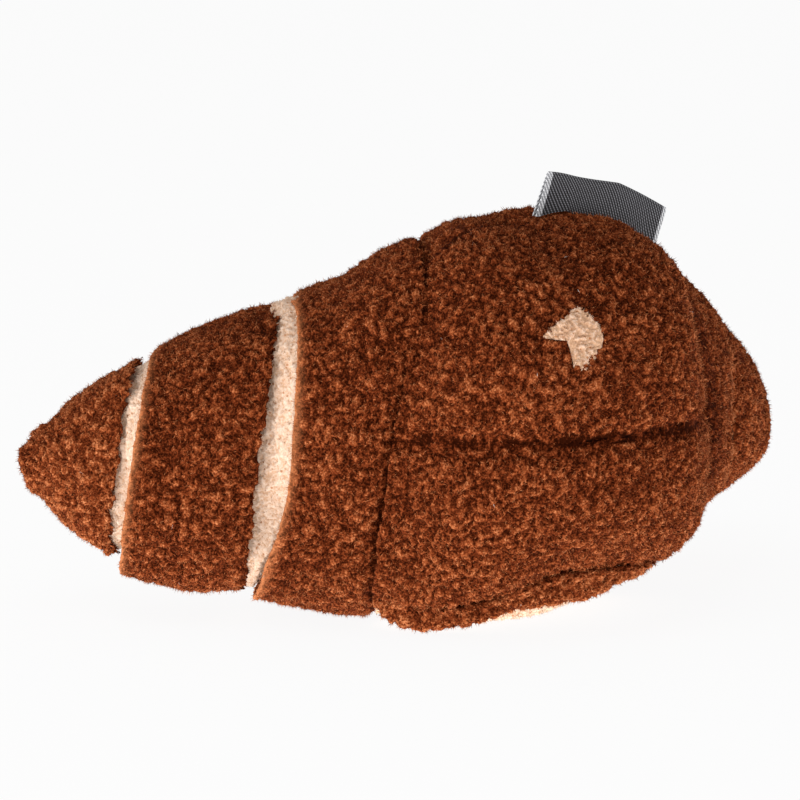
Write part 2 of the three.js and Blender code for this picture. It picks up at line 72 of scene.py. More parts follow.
MERGE_GAP = 0.01 * MM
RIM_ANGLE = math.radians(55)
RAW_FACING = 0.6
HEM_PULL = 1.7
END_PULL = {"left": 0.6, "right": 1.0}
SEAM_REACH = 1.5 * MM
RING_ALLOWANCE = 1.4
LOW_ROOT_ALLOWANCE = 0.8
SWELL_MOMENTS = 20
LINT_SHARE = 0.0002
LINT_TONE = 3
WAD_INSET = 1.6 * MM
WAD_LUMP = 6 * MM
WAD_LUMP_DEPTH = 1.2 * MM
LAMP_SIZE = 0.6
PATCH_SIZE = 0.92
PATCH_BED_SIZE = 0.78
PATCH_PRESS = 2.0 * MM
# How far, in units of plump, a band is pushed out against the lip over it: at its sides, top and bottom.
SEATS = {
    ("left", "horn"): (1.5, 3.0, 2.6), ("right", "horn"): (0.9, 4.0, 2.0),
    ("left", "tip"): (1.8, 1.8, 1.8), ("right", "tip"): (2.6, 0.5, 1.1),
}


def paint(hex_text):
    """Linear colour with full alpha from an sRGB hex value."""
    channels = [int(hex_text[i:i + 2], 16) / 255 for i in (1, 3, 5)]
    linear = [c / 12.92 if c <= 0.04045 else ((c + 0.055) / 1.055) ** 2.4 for c in channels]
    return (*linear, 1.0)


def length(name, description, millimetres):
    """A length property that is set in millimetres."""
    return bpy.props.FloatProperty(
        name=name, description=description, default=millimetres * MM, min=0, precision=5, unit="LENGTH"
    )


def share(name, description, value):
    """A plain number property."""
    return bpy.props.FloatProperty(name=name, description=description, default=value)


def angle(name, description, degrees):
    """An angle property that is set in degrees."""
    return bpy.props.FloatProperty(
        name=name, description=description, default=math.radians(degrees), subtype="ANGLE"
    )


def colour(name, description, hex_text):
    """A colour property that is set by its sRGB hex value."""
    return bpy.props.FloatVectorProperty(
        name=name, description=description, default=paint(hex_text), size=4, min=0, max=1, subtype="COLOR"
    )


class FleeceSettings(bpy.types.PropertyGroup):
    """The fleece of the covers."""

    form_grain: length("Form grain", "Mesh spacing while a cover is smoothed and swelled", 0.8)
    grain: length("Grain", "Mesh spacing of the finished cover", 0.56)
    swell_limit: length("Swell limit", "Furthest that the filling pushes a cover out", 1.6)
    plump: length("Plump", "Unit by which collars, bands and shoulders are filled out", 1.0)
    nose_radius: length("Nose radius", "Roundness of the tips' noses", 7.0)
    side_lift: length("Side lift", "How far the right side's underside is drawn up", 5.8)
    nose_rise: length("Nose rise", "How far the tips' noses point up", 2.8)
    crown_dip: length("Crown dip", "How far the top of the middle dips on the left", 1.8)
    crown_rise: length("Crown rise", "How far the top of the middle rises on the right", 1.5)
    seam_rise: length("Seam rise", "How far the level seam is drawn up across the front", 1.6)
    left_rise: length("Left rise", "How far the left shoulder stands up where it meets the middle", 2.6)
    hem_fall: length("Hem fall", "How far the front hem's edge hangs over the belly", 1.0)
    hem_out: length("Hem out", "How far the front hem stands forward", 2.0)
    hem_flare: length("Hem flare", "How much further forward the hem's edge stands", 1.2)
    hem_taper: length("Hem taper", "How much narrower the hem is on the right", 3.0)
    end_tuck: length("End tuck", "How far the middle's front is drawn in before its right end", 2.0)
    belly_tuck: length("Belly tuck", "How far the belly is tucked back behind the hem on the right", 4.0)
    right_recess: length("Right recess", "How far the right shoulder lies back from the middle's end", 1.0)
    hem_drop: length("Hem drop", "How far the toy hangs down at the front left", 2.2)
    lip_rise: length("Lip rise", "How far a shoulder's lip stands out", 0.3)
    hem_roll: length("Hem roll", "How far the rolled hem stands out", 1.7)
    wander: length("Wander", "How far cut edges and seams wander", 0.9)
    wander_pitch: length("Wander pitch", "Length of one wander", 11)
    seam_allowance: length("Seam allowance", "How far a cover's rim goes into its seam", 1.3)
    seam_depth: length("Seam depth", "How far a seam draws the covers in", 1.35)
    seam_width: length("Seam width", "Half width of the dip along a seam", 1.3)
    nub_pitch: length("Nub pitch", "Spacing of the nubs", 1.65)
    nub_height: length("Nub height", "Height of the nubs over the gaps", 1.0)
    pile_length: length("Pile length", "Length of the loose fibres", 0.8)
    pile_width: length("Pile width", "Width of a tuft of fibres at its root", 0.17)
    pile_density: share("Pile density", "Tufts on each square millimetre", 5.0)
    edge_width: length("Edge width", "Width of the paler strip along a cut edge", 1.2)
    # The pit to tip shades run from deep between the nubs to the fibre ends: partly the fleece's own darker depth
    # and paler ends, partly painted shade in the gaps and painted light on the nub tops.
    brown_pit: colour("Brown pit", "Fleece deep between the nubs", "#2A0A00")
    brown_low: colour("Brown low", "Fleece at the foot of the nubs", "#4D1D08")
    brown_body: colour("Brown body", "Fleece on the nubs", "#6D3015")
    brown_high: colour("Brown high", "Fleece on top of the nubs", "#914C28")
    brown_tip: colour("Brown tip", "Ends of the fibres", "#BA744A")
    brown_edge: colour("Brown edge", "Cut edge of the fleece", "#BE774C")
    cream_pit: colour("Cream pit", "Cream fleece deep between the nubs", "#C89F7F")
    cream_low: colour("Cream low", "Cream fleece at the foot of the nubs", "#D5B298")
    cream_body: colour("Cream body", "Cream fleece on the nubs", "#DABCA4")
    cream_high: colour("Cream high", "Cream fleece on top of the nubs", "#DFC5B0")
    cream_tip: colour("Cream tip", "Ends of the cream fibres", "#E5CEBC")
    speck: colour("Speck", "Brown lint on the cream fleece", "#A5632F")
    lint: colour("Lint", "Pale lint on the brown fleece", "#E9DCCF")


class LabelSettings(bpy.types.PropertyGroup):
    """The woven label in the top seam."""

    thickness: length("Thickness", "Thickness of the tape", 0.35)
    twill_pitch: length("Twill pitch", "Spacing of the twill lines", 0.66)
    left_selvedge: length("Left selvedge", "Pale woven edge on the left", 1.1)
    right_selvedge: length("Right selvedge", "Pale woven edge on the right", 0.7)
    turn_forward: length("Turn forward", "How far the right end bends forward", 0.7)
    dark: colour("Dark thread", "Ground of the twill", "#151416")
    light: colour("Light thread", "Raised lines of the twill", "#7E7D82")
    selvedge: colour("Selvedge thread", "Thread of the woven edges", "#D2D2D4")


class StageSettings(bpy.types.PropertyGroup):
    """Camera, floor and lamps."""

    azimuth: angle("Azimuth", "Way that the camera stands round the toy", -31.5)
    elevation: angle("Elevation", "Height of the camera over the level", 9)
    distance: length("Distance", "From the camera to the toy's middle", 1000)
    middle_height: length("Middle height", "Height of the toy's middle", 40)
    view_width: length("View width", "Width of the picture at the toy's middle", 155.2)
    slide_left: length("Slide left", "How far the view is centred to the left of the middle", 21.9)
    slide_up: length("Slide up", "How far the view is centred over the middle", 2.3)
    key_power: share("Key power", "Watts of the large lamp on the left", 6.6)
    top_power: share("Top power", "Watts of the lamp above the front", 1.8)
    world_strength: share("World strength", "Strength of the even light all round", 0.56)
    floor_white: share("Floor white", "Share of the floor that shows plain white", 0.92)
    floor_glow: share("Floor glow", "Light that the white table gives off by itself", 2.7)


def only(piece):
    """Selects one object alone and makes it active."""
    bpy.ops.object.select_all(action="DESELECT")
    piece.select_set(True)
    bpy.context.view_layer.objects.active = piece


def finish_with(piece, kind, **settings):
    """Adds a modifier with its settings and applies it."""
    only(piece)
    modifier = piece.modifiers.new(kind.title(), kind)
    for key, value in settings.items():
        setattr(modifier, key, value)
    bpy.ops.object.modifier_apply(modifier=modifier.name)


def copy_of(node, name):
    """A new object with a node's mesh, its loose triangles merged."""
    piece = bpy.data.objects.new(name, frame["nodes"][node].data.copy())
    bpy.context.scene.collection.objects.link(piece)
    piece.data.materials.clear()
    only(piece)
    bpy.ops.object.mode_set(mode="EDIT")
    bpy.ops.mesh.select_all(action="SELECT")
    bpy.ops.mesh.remove_doubles(threshold=MERGE_GAP)
    bpy.ops.object.mode_set(mode="OBJECT")
    return piece


def points(mesh):
    """The mesh's vertices as an array."""
    found = np.zeros(len(mesh.vertices) * 3, np.float32)
    mesh.vertices.foreach_get("co", found)
    return found.reshape(-1, 3).astype(float)


def put_points(mesh, places):
    """Moves the mesh's vertices."""
    mesh.vertices.foreach_set("co", places.astype(np.float32).ravel())
    mesh.update()


def normals(mesh):
    """The mesh's vertex normals as an array."""
    found = np.zeros(len(mesh.vertices) * 3, np.float32)
    mesh.vertex_normals.foreach_get("vector", found)
    return found.reshape(-1, 3).astype(float)


def put_attribute(mesh, name, values):
    """Stores one number for each vertex."""
    attribute = mesh.attributes.get(name) or mesh.attributes.new(name, "FLOAT", "POINT")
    attribute.data.foreach_set("value", np.asarray(values, np.float32))


def unit(vectors):
    """Vectors of length one."""
    return vectors / np.maximum(np.linalg.norm(vectors, axis=-1, keepdims=True), 1e-12)


def ramp(values, low, high):
    """Smooth step from 0 at low to 1 at high."""
    t = np.clip((values - low) / (high - low), 0, 1)
    return t * t * (3 - 2 * t)


def pivot(name):
    """A joint's pivot."""
    return np.array(JOINTS[name]["pos_m"], float)


def horn_way(side):
    """Direction along a horn, from its root to its tip."""
    return unit(pivot(f"{side}_tip_bend") - pivot(f"{side}_horn_bend"))


def spine():
    """The toy's middle line from nose to nose, through the bends' pivots."""
    line = []
    for side in SIDES:
        low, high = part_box(f"{side}_tip_front")
        nose_x = low.x if side == "left" else high.x
        start, way = pivot(f"{side}_tip_bend"), horn_way(side)
        nose = start + way * (nose_x - start[0]) / way[0]
        line.append([nose, start, pivot(f"{side}_horn_bend")])
    near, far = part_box("belly_panel")
    middle = np.array([0, (near.y + far.y) / 2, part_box("upper_front_panel")[1].z / 2])
    return np.array(line[0] + [middle] + line[1][::-1])


SPINE = spine()


def away_from_spine(places):
    """For each place, the direction away from the toy's middle line."""
    best = np.full(len(places), np.inf)
    foot = np.zeros_like(places)
    for a, b in zip(SPINE[:-1], SPINE[1:]):
        run = b - a
        t = np.clip((places - a) @ run / (run @ run), 0, 1)
        there = a + t[:, None] * run
        gap = np.linalg.norm(places - there, axis=1)
        closer = gap < best
        best[closer] = gap[closer]
        foot[closer] = there[closer]
    return unit(places - foot)


def evened(piece, rounds):
    """Rounds off flat facets by moving points along their normals, apart from those on the rims."""
    mesh = piece.data
    places = points(mesh)
    ends = np.zeros(len(mesh.edges) * 2, np.int32)
    mesh.edges.foreach_get("vertices", ends)
    first, second = ends.reshape(-1, 2).T
    count = np.bincount(ends, minlength=len(places))[:, None]
    facing = normals(mesh)
    flat = ramp(np.abs(np.einsum("ij,ij->i", facing, away_from_spine(places))), 0.55, 0.8)[:, None]
    size = len(places)
    for _ in range(rounds):
        total = np.stack([
            np.bincount(first, places[second, k], size) + np.bincount(second, places[first, k], size)
            for k in range(3)
        ], axis=1)
        shift = total / count - places
        along = np.einsum("ij,ij->i", shift, facing)[:, None]
        places = places + flat * along * facing
    put_points(mesh, places)


def texture(name, pitch, hard, depth, coloured=False):
    """A noise for the Displace modifier, at a real spacing."""
    made = bpy.data.textures.get(name) or bpy.data.textures.new(name, "CLOUDS")
    made.noise_basis = "ORIGINAL_PERLIN"
    made.noise_type = "HARD_NOISE" if hard else "SOFT_NOISE"
    made.cloud_type = "COLOR" if coloured else "GRAYSCALE"
    made.noise_scale = pitch
    made.noise_depth = depth
    return made


def rim_places(node, way=None, laps=False):
    """Points along a cover's rims, a millimetre apart: sewn ones, and those of the raw edge that faces a way.
    Where laps is set, a rim that faces the other way is neither, because it only laps over a band. Nor is the
    rim that the label hides."""
    sewn, raw = [], []
    rim = bmesh.new()
    rim.from_mesh(frame["nodes"][node].data)
    bmesh.ops.remove_doubles(rim, verts=rim.verts, dist=MERGE_GAP)
    for edge in rim.edges:
        if not edge.is_manifold or edge.calc_face_angle() < RIM_ANGLE:
            continue
        facing = [face.normal @ Vector(way) if way is not None else 0 for face in edge.link_faces]
        if laps and min(facing) < -RAW_FACING:
            continue
        steps = math.ceil(edge.calc_length() / MM)
        a, b = (vert.co for vert in edge.verts)
        (raw if max(facing) > RAW_FACING else sewn).extend(a.lerp(b, k / steps) for k in range(steps + 1))
    rim.free()
    sewn, raw = np.array(sewn).reshape(-1, 3), np.array(raw).reshape(-1, 3)
    low, high = (np.array(corner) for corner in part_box("woven_label"))
    by_label = np.all((sewn > low - 3 * MM) & (sewn < high + 3 * MM), axis=1)
    return sewn[~by_label], raw


def seam_pull(node, line):
    """How strongly each point of a seam is drawn in: most along the hems and the ends of the middle."""
    if node.endswith("_hem"):
        return np.full(len(line), HEM_PULL)
    pull = np.ones(len(line))
    half = node.split("_")[1]
    if node.startswith("lower_"):
        pull[gaps_to(rim_places(f"{half}_hem")[0], line) < SEAM_REACH] = HEM_PULL
    if node.endswith(("front_panel", "back_panel")):
        for side in SIDES:
            pull[gaps_to(rim_places(f"{side}_shoulder_{half}")[0], line) < SEAM_REACH] = END_PULL[side]
    return pull * (1 - 0.5 * ramp(line[:, 2], 58 * MM, 68 * MM))


def middle_rims():
    """Points along all sewn rims of the middle's covers."""
    return np.concatenate([rim_places(cover)[0] for cover in CENTRE_COVERS])


def lips_over(band):
    """The raw edges that lie over a band: a shoulder's over the horn's, a collar's over the tip's."""
    side, kind = band.split("_")[:2]
    ring = "shoulder" if kind == "horn" else "collar"
    return np.concatenate([rim_places(f"{side}_{ring}_{half}", horn_way(side))[1] for half in HALVES])


def tree_of(places):
    """A search tree of places."""
    tree = KDTree(len(places))
    for i, place in enumerate(places):
        tree.insert(place, i)
    tree.balance()
    return tree


def gaps_to(line, places):
    """Distance from each place to the nearest point of a line of points."""
    return nearest(line, places)[1]


def nearest(line, places):
    """The nearest point of a line of points to each place, by number, and its distance."""
    if not len(line):
        return np.zeros(len(places), int), np.full(len(places), np.inf)
    tree = tree_of(line)
    found = [tree.find(place) for place in places]
    return np.array([index for _, index, _ in found]), np.array([gap for _, _, gap in found])


def swelling(body, covers, grain, limit):
    """How the filling pushes a body's covers out between their seams: places and their moves."""
    scene = bpy.context.scene
    parts = [copy_of(node, f"bag_{node}") for node in frame["record"]["behaviour"]["bodies"][body]
             if node in covers or node.endswith("filling")]
    bpy.ops.object.select_all(action="DESELECT")
    for part in parts:
        part.select_set(True)
    bag = parts[0]
    bpy.context.view_layer.objects.active = bag
    bpy.ops.object.join()
    finish_with(bag, "REMESH", mode="VOXEL", voxel_size=grain)
    rest = points(bag.data)
    gaps = gaps_to(np.concatenate([rim_places(node)[0] for node in covers]), rest)
    held = bag.vertex_groups.new(name="held")
    for i, weight in enumerate(1 - ramp(gaps, 0.7 * grain, 1.6 * grain)):
        held.add([i], float(weight), "REPLACE")
    cloth = bag.modifiers.new("Cloth", "CLOTH")
    cloth.settings.quality = 6
    cloth.settings.mass = 0.15
    cloth.settings.use_pressure = True
    cloth.settings.uniform_pressure_force = 4
    cloth.settings.vertex_group_mass = held.name
    cloth.settings.effector_weights.gravity = 0
    for moment in range(1, SWELL_MOMENTS + 1):
        scene.frame_set(moment)
    only(bag)
    bpy.ops.object.modifier_apply(modifier=cloth.name)
    move = points(bag.data) - rest
    scene.frame_set(1)
    far = np.linalg.norm(move, axis=1, keepdims=True)
    move *= np.minimum(1, limit / np.maximum(far, 1e-9))
    bpy.data.objects.remove(bag)
    return rest, move


def swelled(piece, field):
    """Moves a cover's points with the nearest points of its swelled bag."""
    if field is None:
        return
    rest, move = field
    tree = tree_of(rest)
    places = points(piece.data)
    shift = np.zeros_like(places)
    for i, place in enumerate(places):
        near = tree.find_n(place, 4)
        weights = np.array([1 / (gap + 0.5 * MM) ** 2 for _, _, gap in near])
        shift[i] = weights @ move[[index for _, index, _ in near]] / weights.sum()
    lifted = ramp(places[:, 2], 2 * MM, 9 * MM)[:, None]
    put_points(piece.data, places + shift * lifted)


def outwardness(mesh):
    """How far each point faces away from the toy's middle: 1 outside, 0 on a rim, -1 inside."""
    return np.einsum("ij,ij->i", normals(mesh), away_from_spine(points(mesh)))


def sewn_in(piece, fleece, line, pull, cut, allowance):
    """Grows a cover's rim into its seams and draws the cover in along them."""
    mesh = piece.data
    places, facing = points(mesh), normals(mesh)
    rim = 1 - ramp(np.abs(outwardness(mesh)), 0.35, 0.8)
    if cut is not None:
        rim = rim * (1 - ramp(facing @ cut, 0.2, 0.5))
    places = places + facing * (allowance * rim)[:, None]
    if len(line):
        index, gap = nearest(line, places)
        dip = fleece.seam_depth * pull[index] * np.exp(-(gap / fleece.seam_width) ** 2)
        places = places - away_from_spine(places) * dip[:, None]
    put_points(mesh, places)


def settled(places, fleece):
    """How the toy lies: right underside drawn up, hem hanging at the front left, top leaning to the right."""
    x, y, z = places.T
    behind = ramp(y, -15 * MM, -3 * MM)
    easing = 1 - 0.2 * ramp(x, 2 * MM, 22 * MM) - 0.35 * ramp(x, 20 * MM, 32 * MM)
    in_front = ramp(x, -34 * MM, 0) * easing
    side = (1 - behind) * in_front + behind * ramp(x, -2 * MM, 40 * MM)
    up = fleece.side_lift * side * (1 - ramp(z, 4 * MM, 36 * MM))
    left = (1 - ramp(x, -24 * MM, -6 * MM)) * (1 - ramp(y, -10 * MM, 2 * MM))
    front_left = left * (1 - ramp(-x, 32 * MM, 46 * MM))
    up -= fleece.hem_drop * front_left * ramp(z, 0.3 * MM, 2.8 * MM) * (1 - ramp(z, 8 * MM, 22 * MM))
    top = ramp(z, 48 * MM, 74 * MM)
    up += fleece.crown_rise * top * ramp(x, 8 * MM, 26 * MM)
    up -= fleece.crown_dip * top * ramp(x, -18 * MM, -2 * MM) * (1 - ramp(x, -4 * MM, 9 * MM))
    seam_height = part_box("upper_front_panel")[0].z
    up += fleece.seam_rise * (1 - ramp(y, -12 * MM, 2 * MM)) * np.exp(-((z - seam_height) / (13 * MM)) ** 2)
    return places + np.outer(up, (0, 0, 1))


def tip_lap(over, below):
    """How far a tip's root laps over its band, in millimetres, more at the top and the bottom."""
    return 1.1 * over ** 2 + 2.2 * below ** 2


def shaped_tip(piece, side, fleece):
    """Makes a tip a straight cone that rises to a blunt nose, with a wide root."""
    mesh = piece.data
    places = points(mesh)
    nose = SPINE[0] if side == "left" else SPINE[-1]
    way = horn_way(side)
    back = (nose - places) @ way
    centre = nose - np.outer(back, way)
    reach = places - centre
    radius = np.linalg.norm(reach, axis=1)
    big = fleece.nose_radius
    near = np.clip(back - 0.2 * MM, 0, big)
    blunt = np.sqrt(2 * big * near - near ** 2)
    outer = outwardness(mesh) > 0
    fuller = np.where(outer & (back < big), np.maximum(radius, blunt), radius)
    drawn_back = 0.9 * MM * np.exp(-np.clip(back, 0, None) / (3 * MM))
    places = centre - np.outer(drawn_back, way) + unit(reach) * fuller[:, None]
    slant = unit(reach)[:, 2]
    stations = [0, 4, 8, 14, 20, 27]
    over, below = np.clip(slant, 0, 1), np.clip(-slant, 0, 1)
    top = np.interp(back / MM, stations, [-1.5, -0.9, -0.5, 0.45, 1.6, 2.9]) * over
    under = np.interp(back / MM, stations, [0.0, -0.85, -1.5, -1.85, -2.3, -2.9]) * below
    rise = fleece.nose_rise * (1 - ramp(back, 0, 22 * MM))
    places[:, 2] += (top + under) * MM + rise
    lap = ramp(back, 12 * MM, 20 * MM) * tip_lap(over, below) * MM
    places -= np.outer(lap, way)
    put_points(mesh, places)
    evened(piece, 25)


def collar_move(places, way, over, below, right, fleece):
    """How far a collar is filled out, most at its root."""
    along = places @ way
    root = (along.max() - along) / np.ptp(along)
    top, bottom = 1.1 * root + 0.8 * root ** 4 - 0.7, 2.9 * root ** 2 - 0.6
    move = fleece.plump * (0.4 + top * over + bottom * below)
    if right:
        move += fleece.plump * (1.4 * (1 - over - below) + (2.6 * root ** 3 - 1.6) * over)
    return move


def band_move(node, places, over, below, fleece):
    """How far a band is pushed out against its lip and where it shows, and dives under the next cover."""
    side, kind = node.split("_")[:2]
    way = horn_way(side)
    lips = lips_over(node)
    index, gap = nearest(lips, places)
    ahead = (places - lips[index]) @ way
    over_band = "collar" if kind == "horn" else "tip"
    lap = places @ way
    lap = lap - (points(frame["nodes"][f"{side}_{over_band}_front"].data) @ way).min()
    if kind == "horn":
        dive = 1.0 * MM
        bare = ramp(ahead, -2.5 * MM, 0.5 * MM) * (1 - 0.4 * ramp(lap, -2.5 * MM, 0))
        shown = (2.8 * over + 6.2 * below ** 2) * bare * (1 - ramp(gap, 6 * MM, 10 * MM))
    else:
        dive = 1.8 * MM
        lap = lap + tip_lap(over, below) * MM
        shown = 0.9 * (over + below) * (1 - ramp(lap, -2 * MM, 0))
    at_sides, at_top, at_bottom = SEATS[side, kind]
    at_bottom = at_bottom * ramp(ahead, -5 * MM, -2 * MM)
    seat = at_sides * (1 - over - below) + at_top * over + at_bottom * below
    seat = seat * (1 - ramp(ahead, -0.5 * MM, 2.5 * MM)) * (1 - ramp(lap, -2 * MM, 0))
    return fleece.plump * np.maximum(shown, seat) - dive * ramp(lap, -0.2 * MM, 1.5 * MM)


def shoulder_move(node, places, over, line, raw, fleece):
    """How far a shoulder stands out at its lip, and stands up or lies back where it meets the middle."""
    from_lip = gaps_to(raw, places)
    from_root = gaps_to(line[gaps_to(middle_rims(), line) < SEAM_REACH], places)
    move = fleece.lip_rise * np.exp(-(from_lip / (6 * MM)) ** 2)
    if node.startswith("left"):
        front = 1 - 0.8 * ramp(places[:, 1], 8 * MM, 22 * MM)
        return move + fleece.left_rise * over * np.exp(-(from_root / (14 * MM)) ** 2) * front
    move += fleece.plump * 1.8 * over * np.exp(-(from_lip / (9 * MM)) ** 2)
    return move - fleece.right_recess * (1 - over) * np.exp(-(from_root / (8 * MM)) ** 2)


def plumped(piece, node, line, raw, way, fleece):
    """Fills out collars, bands and shoulders, rolls the hems, and tucks in belly and front on the right."""
    places = points(piece.data)
    away = away_from_spine(places)
    over, below = ramp(away[:, 2], 0.2, 0.9), ramp(-away[:, 2], 0.2, 0.9)
    move = np.zeros(len(places))
    if "_collar_" in node:
        move = collar_move(places, way, over, below, node.startswith("right"), fleece)
    if node.endswith("_band"):
        move = band_move(node, places, over, below, fleece)
    if "_shoulder_" in node:
        move = shoulder_move(node, places, over, line, raw, fleece)
    if node == "belly_panel":
        tuck = ramp(places[:, 0], 2 * MM, 14 * MM) * (1 - ramp(places[:, 1], -10 * MM, 4 * MM))
        places += np.outer(fleece.belly_tuck * tuck, (0, 1, 0.25))
    if node.endswith("_hem"):
        between = 1 - np.exp(-(gaps_to(line, places) / (1.6 * MM)) ** 2)
        move = fleece.hem_roll * between * (1 - 0.4 * ramp(places[:, 0], 10 * MM, 26 * MM))
    if node == "front_hem":
        edge = 1 - ramp(places[:, 2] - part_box(node)[0].z, 1 * MM, 5 * MM)
        x = places[:, 0]
        fall = fleece.hem_fall * ramp(x, -14 * MM, -4 * MM) - fleece.hem_taper * ramp(x, 1 * MM, 14 * MM)
        places[:, 2] -= fall * edge
        forward = (fleece.hem_out + fleece.hem_flare * edge) * (1 - ramp(np.abs(x), 18 * MM, 27 * MM))
        places += unit(away * (1, 1, 0)) * forward[:, None]
    if node in ("upper_front_panel", "lower_front_panel"):
        level = ramp(places[:, 2], 16 * MM, 26 * MM) * (1 - ramp(places[:, 2], 58 * MM, 68 * MM))
        move = -fleece.end_tuck * level * np.exp(-((places[:, 0] - 29 * MM) / (6 * MM)) ** 2)
    put_points(piece.data, places + away * move[:, None])


def wandered(piece, fleece):
    """Lets seams and cut edges wander a little, alike in pieces that meet."""
    before = points(piece.data)
    finish_with(
        piece, "DISPLACE", texture=texture("wander", fleece.wander_pitch, False, 1, True),
        texture_coords="LOCAL", direction="RGB_TO_XYZ", mid_level=0.5, strength=2 * fleece.wander,
    )
    lifted = ramp(before[:, 2], 1 * MM, 8 * MM)[:, None]
    put_points(piece.data, settled(before + (points(piece.data) - before) * lifted, fleece))


def nubbed(piece, mask, fleece, size):
    """Raises the nubs of the fleece and gives each point's height between gap, 0, and nub, 1."""
    mesh = piece.data
    before = points(mesh)
    facing = normals(mesh)
    finish_with(
        piece, "DISPLACE", texture=texture(f"nubs_{size}", fleece.nub_pitch * size, True, 2),
        texture_coords="LOCAL", direction="NORMAL", mid_level=0, strength=fleece.nub_height,
    )
    height = np.einsum("ij,ij->i", points(mesh) - before, facing)
    height = np.argsort(np.argsort(height)) / len(height)
    rise = (height - 0.8) * fleece.nub_height * size * mask
    put_points(mesh, before + facing * rise[:, None])
    return facing, height


def piled(piece, mask, facing, height, edge, fleece, seed, pale, pile):
    """Roots short tapered fibres in the fleece, gathered towards the nubs, and joins them to it."""
    mesh = piece.data
    places = points(mesh)
    slope = normals(mesh)
    uphill = -(slope - facing * np.einsum("ij,ij->i", slope, facing)[:, None])
    mesh.calc_loop_triangles()
    corners = np.zeros(len(mesh.loop_triangles) * 3, np.int32)
    mesh.loop_triangles.foreach_get("vertices", corners)
    corners = corners.reshape(-1, 3)
    a, b, c = (places[corners[:, k]] for k in range(3))
    area = np.linalg.norm(np.cross(b - a, c - a), axis=1) / 2 * mask[corners].mean(axis=1)
    chance = area * np.clip(0.35 + height[corners].mean(axis=1), 0.05, None)
    number = int(area.sum() / MM ** 2 * fleece.pile_density)
    draw = np.random.default_rng(seed)
    chosen = corners[draw.choice(len(corners), number, p=chance / chance.sum())]
    parts = draw.dirichlet((1, 1, 1), number)

    def at(values):
        return np.einsum("nk,nk...->n...", parts, values[chosen])

    root, out, climb, level = at(places), unit(at(facing)), at(uphill), at(height)
    stray = draw.normal(size=(number, 3))
    way = unit(0.28 * out + 0.8 * climb + 0.7 * stray)
    way = unit(way + np.maximum(0.15 - np.einsum("ij,ij->i", way, out), 0)[:, None] * out)
    lint = draw.random(number) < LINT_SHARE
    reach = pile * fleece.pile_length * draw.uniform(0.6, 1.35, number) * np.where(lint, 1.5, 1.0)
    wide = fleece.pile_width / 2 * draw.uniform(0.7, 1.2, number) * np.where(lint, 0.6, 1.0)
    side = unit(np.cross(way, draw.normal(size=(number, 3))))
    other = np.cross(way, side)
    foot = root - out * 0.12 * MM
    tufts = np.empty((number, 4, 3))
    for k in range(3):
        turn = 2 * math.pi * k / 3
        tufts[:, k] = foot + wide[:, None] * (math.cos(turn) * side + math.sin(turn) * other)
    tufts[:, 3] = root + way * reach[:, None]
    first = 4 * np.arange(number)[:, None]
    sides = ((0, 1, 3), (1, 2, 3), (2, 0, 3), (2, 1, 0))
    faces = np.concatenate([first + np.array(face) for face in sides])
    # Each fibre takes the tone at its root and a paler one at its end: partly the fibre's own paler end, partly
    # painted light on it.
    tone = np.empty((number, 4))
    own = draw.normal(0, 0.26, number)
    tone[:, :3] = (0.56 * level + own)[:, None]
    tone[:, 3] = 0.24 + 0.56 * level + 1.4 * own
    if not pale:
        tone[lint] = LINT_TONE
    fibres = bpy.data.meshes.new("pile")
    fibres.vertices.add(4 * number)
    fibres.vertices.foreach_set("co", tufts.astype(np.float32).ravel())
    fibres.loops.add(3 * len(faces))
    fibres.loops.foreach_set("vertex_index", faces.astype(np.int32).ravel())
    fibres.polygons.add(len(faces))
    fibres.polygons.foreach_set("loop_start", 3 * np.arange(len(faces), dtype=np.int32))
    fibres.update(calc_edges=True)
    put_attribute(fibres, "pile_tone", tone.ravel())
    put_attribute(fibres, "cut_edge", np.repeat(at(edge), 4))
    coat = bpy.data.objects.new("pile", fibres)
    bpy.context.scene.collection.objects.link(coat)
    only(piece)
    coat.select_set(True)
    bpy.ops.object.join()
    bpy.data.meshes.remove(fibres)


def drawn_in(places, size):
    """The patch's points, drawn in by its stitches."""
    low, high = (np.array(corner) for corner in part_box("highlight_patch"))
    middle = (low + high) / 2
    return middle + (places - middle) * size + np.array([0, 0, 0.6 * MM])


def under_patch(places, facing):
    """1 at points that the pale patch covers, 0 elsewhere."""
    patch = frame["nodes"]["highlight_patch"].data
    bed = drawn_in(points(patch), PATCH_BED_SIZE).tolist()
    tree = BVHTree.FromPolygons(bed, [tuple(face.vertices) for face in patch.polygons])
    covered = np.zeros(len(places))
    low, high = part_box("highlight_patch")
    near = np.all((places > np.array(low) - 2 * MM) & (places < np.array(high) + 2 * MM), axis=1)
    for i in np.nonzero(near)[0]:
        start = Vector(places[i] - facing[i] * 1 * MM)
        covered[i] = tree.ray_cast(start, Vector(facing[i]), 5 * MM)[0] is not None
    return covered


def add_node(tree, kind, links=None, stops=None, **settings):
    """Adds a shader node with its settings, its inputs by value or link and its ramp's stops.
    It gives the node's outputs."""
    made = tree.nodes.new(f"ShaderNode{kind}")
    for key, value in settings.items():
        setattr(made, key, value)
    for key, value in (links or {}).items():
        if isinstance(value, bpy.types.NodeSocket):
            tree.links.new(value, made.inputs[key])
        else:
            made.inputs[key].default_value = value
    for i, (place, shade) in enumerate(stops or ()):
        element = made.color_ramp.elements[i] if i < 2 else made.color_ramp.elements.new(place)
        element.position = place
        element.color = shade
    return made.outputs


def new_material(name):
    """An empty material and its tree."""
    made = bpy.data.materials.new(name)
    made.use_nodes = True
    made.node_tree.nodes.clear()
    return made, made.node_tree


def surface(tree, links):
    """A Principled surface as the material's output."""
    shader = add_node(tree, "BsdfPrincipled", links)
    add_node(tree, "OutputMaterial", {"Surface": shader["BSDF"]})


